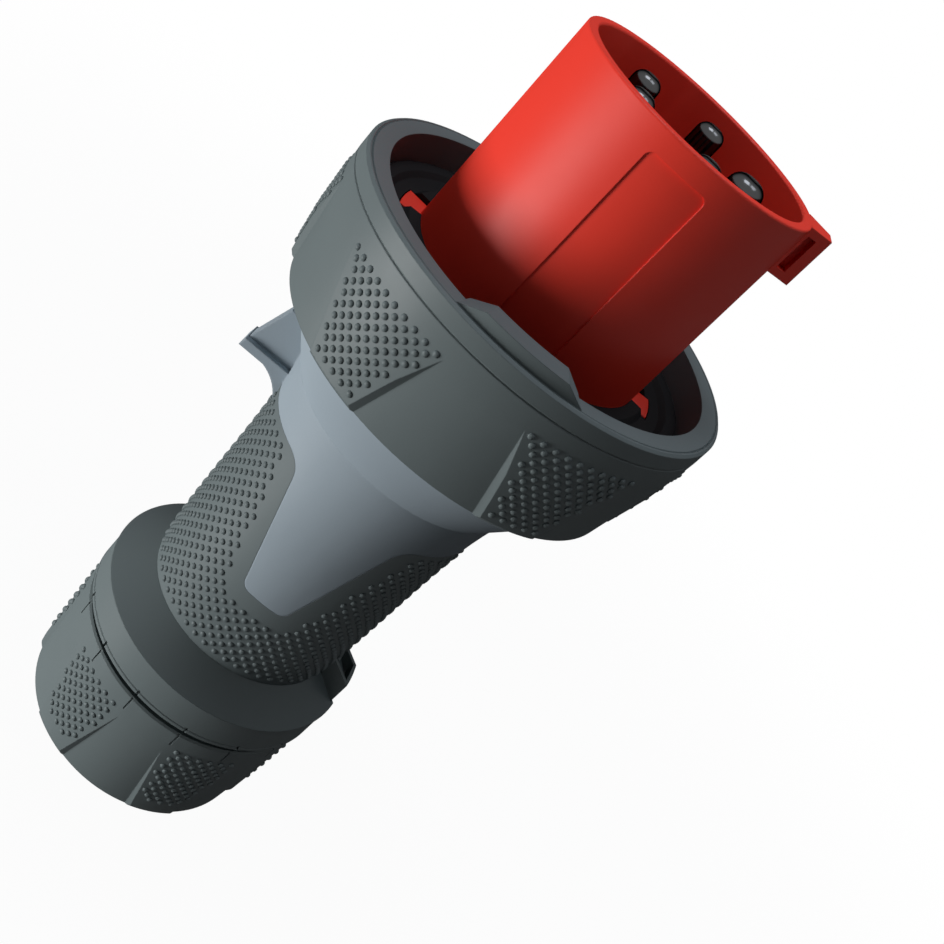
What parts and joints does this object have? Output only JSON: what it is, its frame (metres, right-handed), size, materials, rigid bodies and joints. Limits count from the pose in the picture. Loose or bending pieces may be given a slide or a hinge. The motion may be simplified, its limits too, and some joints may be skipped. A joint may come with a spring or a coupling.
{
  "type": "industrial power plug",
  "caption": "Round industrial power plug: red keyed shroud with contact pins, turning bayonet locking ring, dotted soft grip and a screw-down cable gland.",
  "frame": {"origin": "centre of the gland nut's flat rear face, on the plug's axis", "axes": "+Z along the plug's axis towards the pins; -Y towards the key, the earth pin and the latch; +Y towards the hooked lug"},
  "size_m": [0.1152, 0.1152, 0.25],
  "materials": {
    "red_moulding": "satin moulded plastic",
    "dark_moulding": "satin moulded plastic, dark grey",
    "light_moulding": "satin moulded plastic, light blue-grey",
    "soft_touch": "soft-touch elastomer with raised dots",
    "black_rubber": "matt black rubber",
    "contact_metal": "bright nickel plate on brass",
    "plated_steel": "zinc plated steel",
    "inner_plastic": "plain moulded plastic, grey"
  },
  "bodies": {
    "handle": {"front_shroud": "red_moulding", "contact_carrier": "red_moulding", "front_gasket": "black_rubber", "carrier_seal_ring": "black_rubber", "collar_seal_ring": "black_rubber", "cable_seal": "black_rubber", "pin_earth": "contact_metal", "pin_l1": "contact_metal", "pin_l2": "contact_metal", "pin_l3": "contact_metal", "pin_neutral": "contact_metal", "pin_pilot": "contact_metal", "terminal_screws": "plated_steel", "plate_screws": "plated_steel", "carrier_screws": "plated_steel", "latch_pin": "plated_steel", "latch_spring": "plated_steel", "terminal_plate": "inner_plastic", "clamp_cage": "inner_plastic", "housing_body": "light_moulding", "soft_grip": "soft_touch", "rear_collar": "dark_moulding"},
    "locking_ring": {"bayonet_ring": "dark_moulding"},
    "latch": {"latch_lever": "dark_moulding"},
    "thrust": {"thrust_ring": "inner_plastic"},
    "nut": {"gland_nut": "dark_moulding"}
  },
  "joints": [
    {"name": "bayonet_turn", "type": "hinge", "parent": "handle", "child": "locking_ring", "pos_m": [0, 0, 0.1785], "axis": [0, 0, 1], "range_deg": [0, 60]},
    {"name": "latch_press", "type": "hinge", "parent": "handle", "child": "latch", "pos_m": [0, -0.0342, 0.0523], "axis": [-1, 0, 0], "range_deg": [0, 6], "stiffness_Nm_per_rad": 0.05, "springref_deg": -9.74},
    {"name": "gland_travel", "type": "slide", "parent": "handle", "child": "thrust", "axis": [0, 0, -1], "range_m": [0, 0.0061]},
    {"name": "gland_turn", "type": "hinge", "parent": "thrust", "child": "nut", "pos_m": [0, 0, 0.019], "axis": [0, 0, -1], "range_deg": [0, 720]}
  ],
  "couplings": [
    {"joint": "gland_travel", "follows": "gland_turn", "m_per_rad": 0.00047746}
  ]
}
